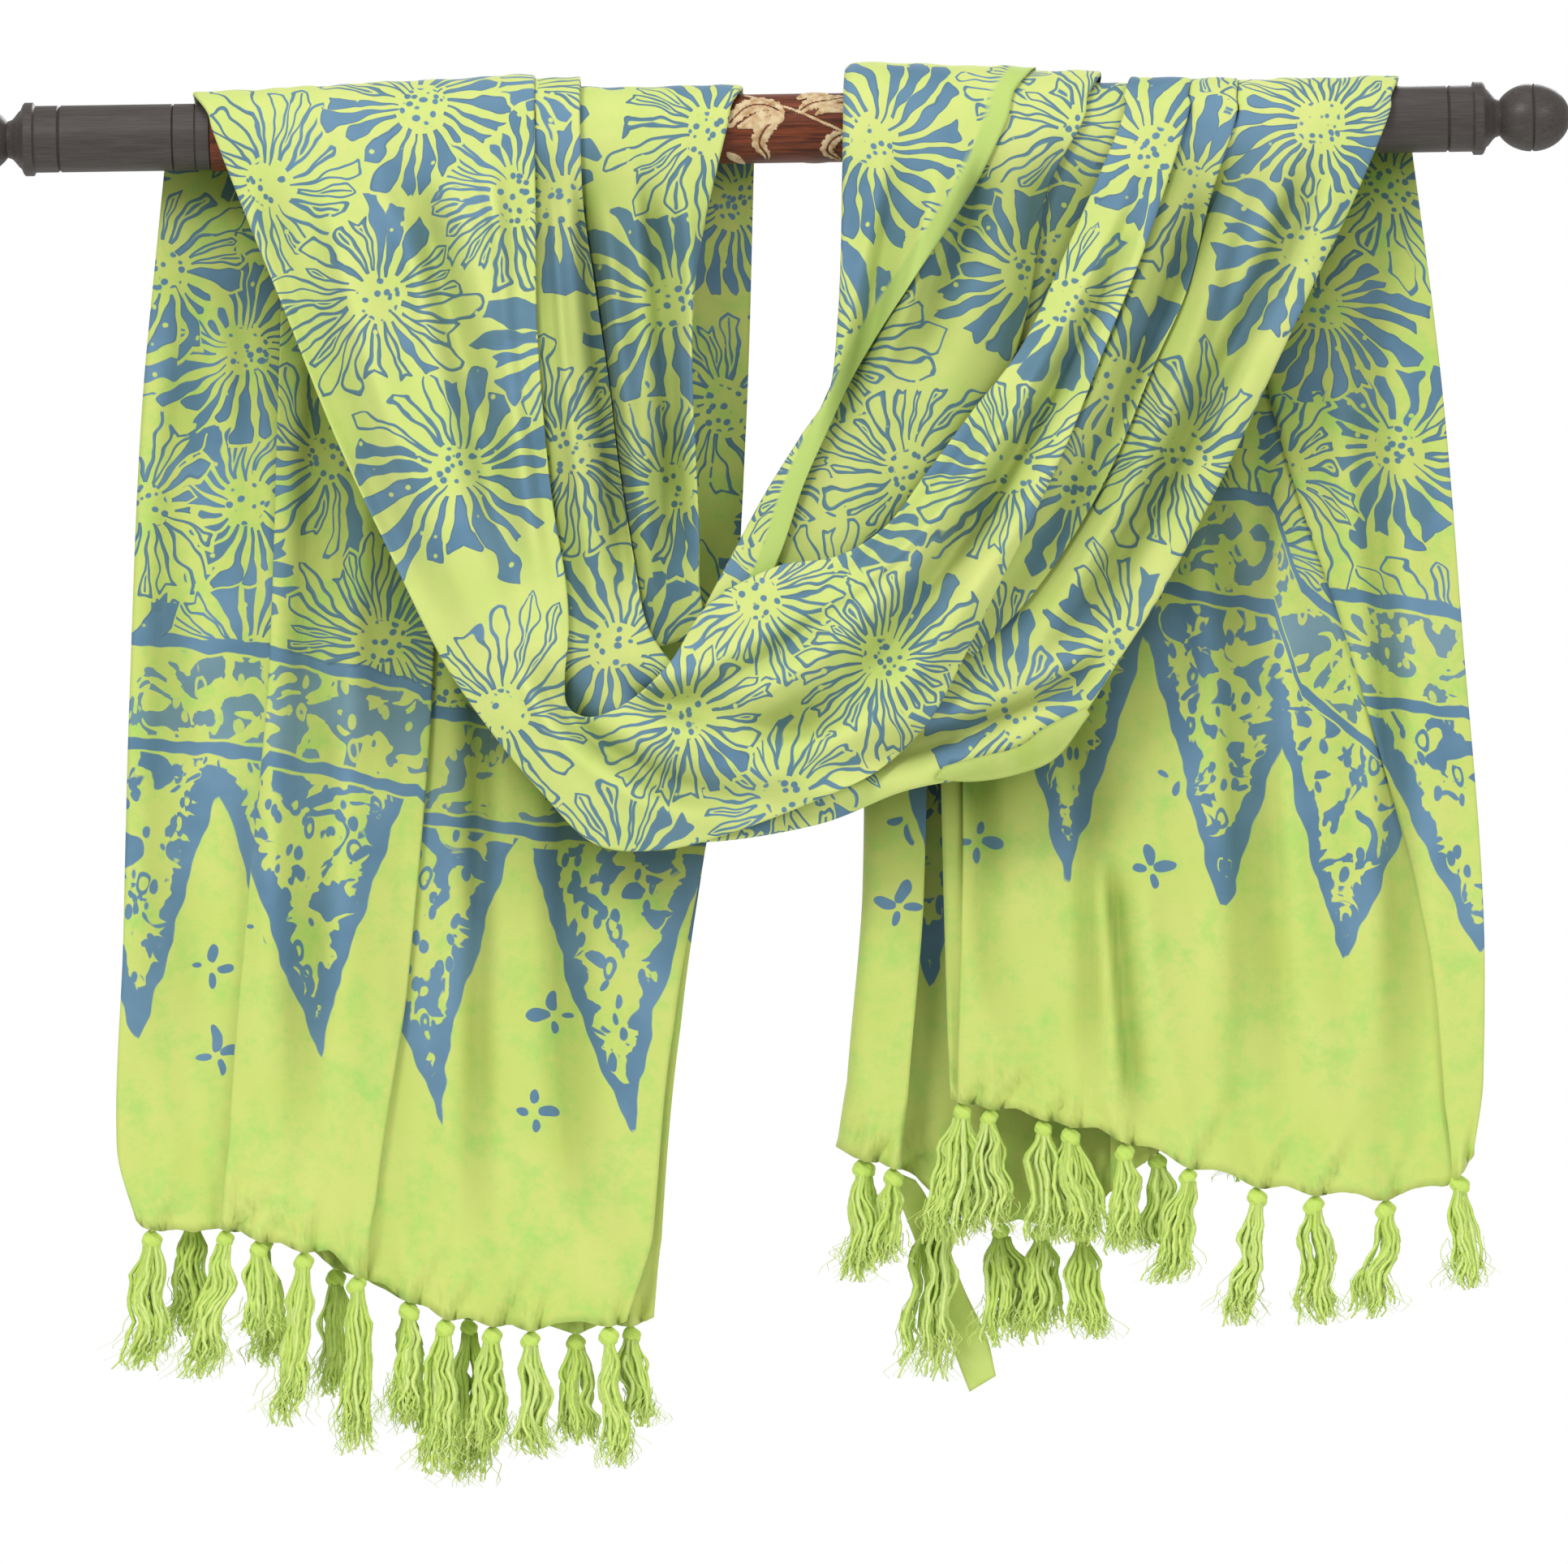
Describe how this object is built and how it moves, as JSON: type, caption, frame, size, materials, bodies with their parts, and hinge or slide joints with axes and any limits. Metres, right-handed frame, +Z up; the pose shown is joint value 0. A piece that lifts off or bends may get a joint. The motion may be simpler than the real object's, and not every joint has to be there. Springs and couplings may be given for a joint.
{
  "type": "batik sarong on a turned wooden display rod",
  "caption": "Lime and steel-blue batik sarong, pleated lengthwise and hung by its two fringed ends over a turned wooden rod, its middle falling in front as a wide swag.",
  "frame": {"origin": "on the rod's axis, midway between the sides of the hanging cloth", "axes": "+X along the rod to the right as seen from the front, +Y to the back, +Z up; the swag faces -Y"},
  "size_m": [0.7246, 0.1017, 0.6337],
  "materials": {
    "batik_rayon": "soft matt plain weave, lime ground with a steel-blue floral figure and a border of pointed triangles",
    "plain_rayon": "soft matt plain weave, undecorated lime selvedge",
    "fringe_yarn": "matt loose yarn, brighter at its frayed ends",
    "rosewood": "carved and rubbed, with pale leaf relief",
    "stained_wood": "turned, stained near black, satin"
  },
  "bodies": {
    "root": {"corner_strip": "plain_rayon", "rod_core": "rosewood", "rod_sleeve_left": "stained_wood", "rod_sleeve_right": "stained_wood", "selvedge_turn": "plain_rayon", "swag_front_band": "batik_rayon", "swag_left_inner": "batik_rayon", "swag_left_pleat": "batik_rayon", "swag_outer_band": "batik_rayon", "swag_right_fold": "batik_rayon", "swag_right_panel": "batik_rayon", "swag_right_recess": "batik_rayon", "swag_right_step": "batik_rayon", "tail_left_back": "batik_rayon", "tail_left_front": "batik_rayon", "tail_right_back": "batik_rayon", "tail_right_front": "batik_rayon", "tassel_left_back_01": "fringe_yarn", "tassel_left_back_02": "fringe_yarn", "tassel_left_back_03": "fringe_yarn", "tassel_left_back_04": "fringe_yarn", "tassel_left_back_05": "fringe_yarn", "tassel_left_back_06": "fringe_yarn", "tassel_left_back_07": "fringe_yarn", "tassel_left_front_01": "fringe_yarn", "tassel_left_front_02": "fringe_yarn", "tassel_left_front_03": "fringe_yarn", "tassel_left_front_04": "fringe_yarn", "tassel_left_front_05": "fringe_yarn", "tassel_left_front_06": "fringe_yarn", "tassel_left_front_07": "fringe_yarn", "tassel_left_front_08": "fringe_yarn", "tassel_left_front_09": "fringe_yarn", "tassel_left_front_10": "fringe_yarn", "tassel_right_back_01": "fringe_yarn", "tassel_right_back_02": "fringe_yarn", "tassel_right_back_03": "fringe_yarn", "tassel_right_back_04": "fringe_yarn", "tassel_right_back_05": "fringe_yarn", "tassel_right_back_06": "fringe_yarn", "tassel_right_back_07": "fringe_yarn", "tassel_right_back_08": "fringe_yarn", "tassel_right_edge_01": "fringe_yarn", "tassel_right_edge_02": "fringe_yarn", "tassel_right_front_01": "fringe_yarn", "tassel_right_front_02": "fringe_yarn", "tassel_right_front_03": "fringe_yarn", "tassel_right_front_04": "fringe_yarn", "tassel_right_front_05": "fringe_yarn", "tassel_right_front_06": "fringe_yarn", "tassel_right_front_07": "fringe_yarn", "tassel_right_front_08": "fringe_yarn", "tassel_right_front_09": "fringe_yarn", "tassel_right_front_10": "fringe_yarn"}
  },
  "joints": []
}
